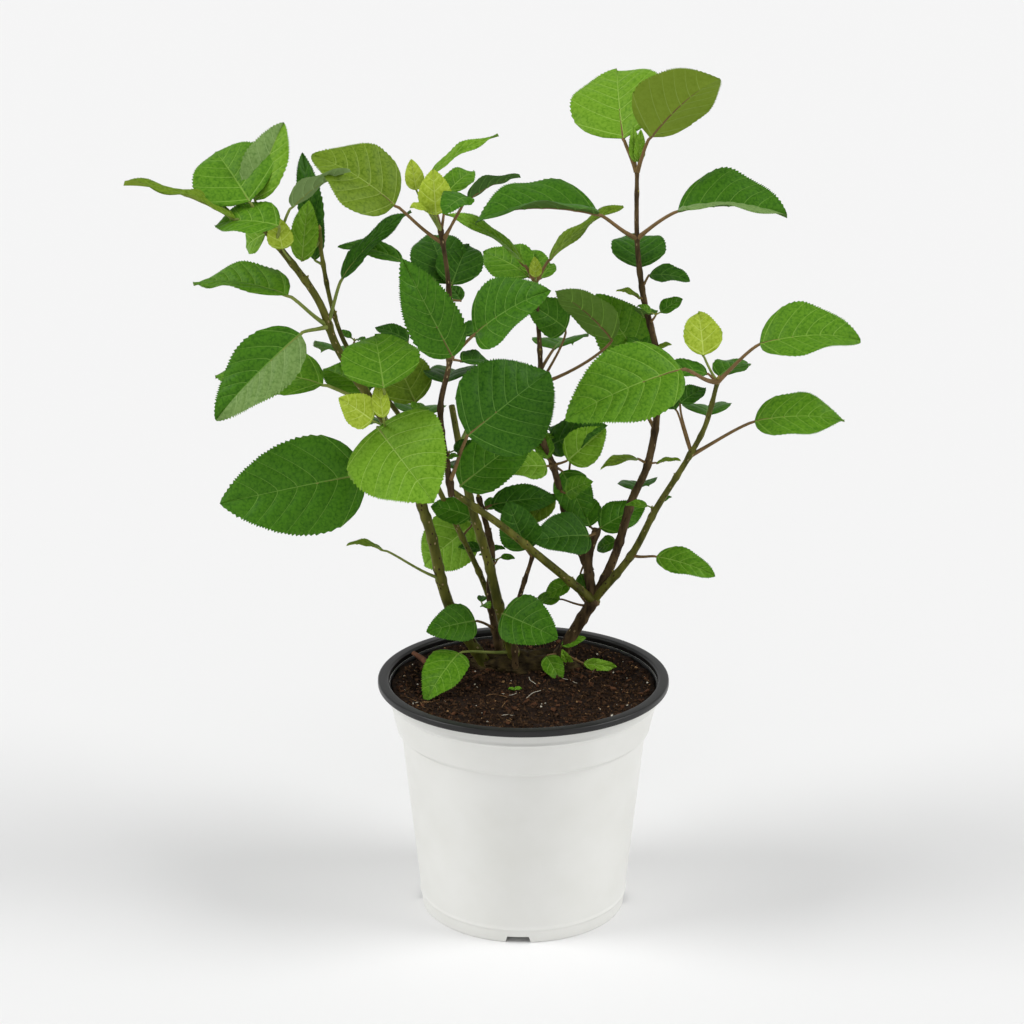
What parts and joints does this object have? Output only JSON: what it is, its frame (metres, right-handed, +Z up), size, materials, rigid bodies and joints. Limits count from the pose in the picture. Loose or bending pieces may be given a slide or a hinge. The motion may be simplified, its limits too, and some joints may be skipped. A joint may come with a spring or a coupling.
{
  "type": "hydrangea shrub in a pot",
  "caption": "Young open-branched hydrangea shrub with large serrated green leaves, growing from a woody crown in a round white nursery pot with a black lip.",
  "frame": {"origin": "middle of the pot's underside, on the face of the small central foot", "axes": "+Z up along the pot's axis, -Y to the front, +X to the right"},
  "size_m": [0.521, 0.2644, 0.6358],
  "materials": {
    "white_plastic": "satin moulded polypropylene",
    "black_plastic": "satin moulded polypropylene",
    "compost": "moist loose compost",
    "brown_bark": "rough bark with fine splits",
    "green_bark": "smooth young bark",
    "leaf": "satin leaf",
    "young_leaf": "satin young leaf"
  },
  "bodies": {
    "root": {"pot": "white_plastic", "pot_rim": "black_plastic", "compost": "compost", "crown": "brown_bark", "trunk": "brown_bark", "left_stem": "green_bark", "olive_stem": "green_bark", "dark_stem": "brown_bark", "thin_stem": "green_bark", "black_stem": "brown_bark", "tall_stem": "brown_bark", "side_stem": "green_bark", "cross_stem": "green_bark", "middle_stem": "brown_bark", "old_stub": "brown_bark", "back_stem": "brown_bark", "back_left": "leaf", "back_middle": "leaf", "back_right": "leaf", "back_tip_east": "leaf", "back_tip_west": "leaf", "centre_dark": "leaf", "centre_left_behind": "leaf", "centre_left_round": "leaf", "centre_low": "leaf", "centre_right": "leaf", "centre_right_behind": "leaf", "centre_small": "leaf", "curled_pair": "leaf", "left_arched": "leaf", "left_behind": "leaf", "left_folded": "leaf", "left_inner": "leaf", "left_low": "leaf", "left_lower": "leaf", "left_tip": "leaf", "left_upper": "leaf", "low_behind": "leaf", "low_centre_east": "leaf", "low_centre_west": "leaf", "low_far_west": "leaf", "low_front": "leaf", "low_middle": "leaf", "low_west": "leaf", "middle_behind": "leaf", "middle_east": "leaf", "middle_front": "leaf", "middle_right": "leaf", "middle_tip": "young_leaf", "middle_west": "leaf", "right_inner": "leaf", "right_low": "leaf", "right_lower": "leaf", "right_node": "young_leaf", "right_upper": "leaf", "top_right_behind": "leaf", "top_right_east": "leaf", "top_right_tip": "leaf", "top_right_west": "leaf", "young_left": "young_leaf"}
  },
  "joints": []
}
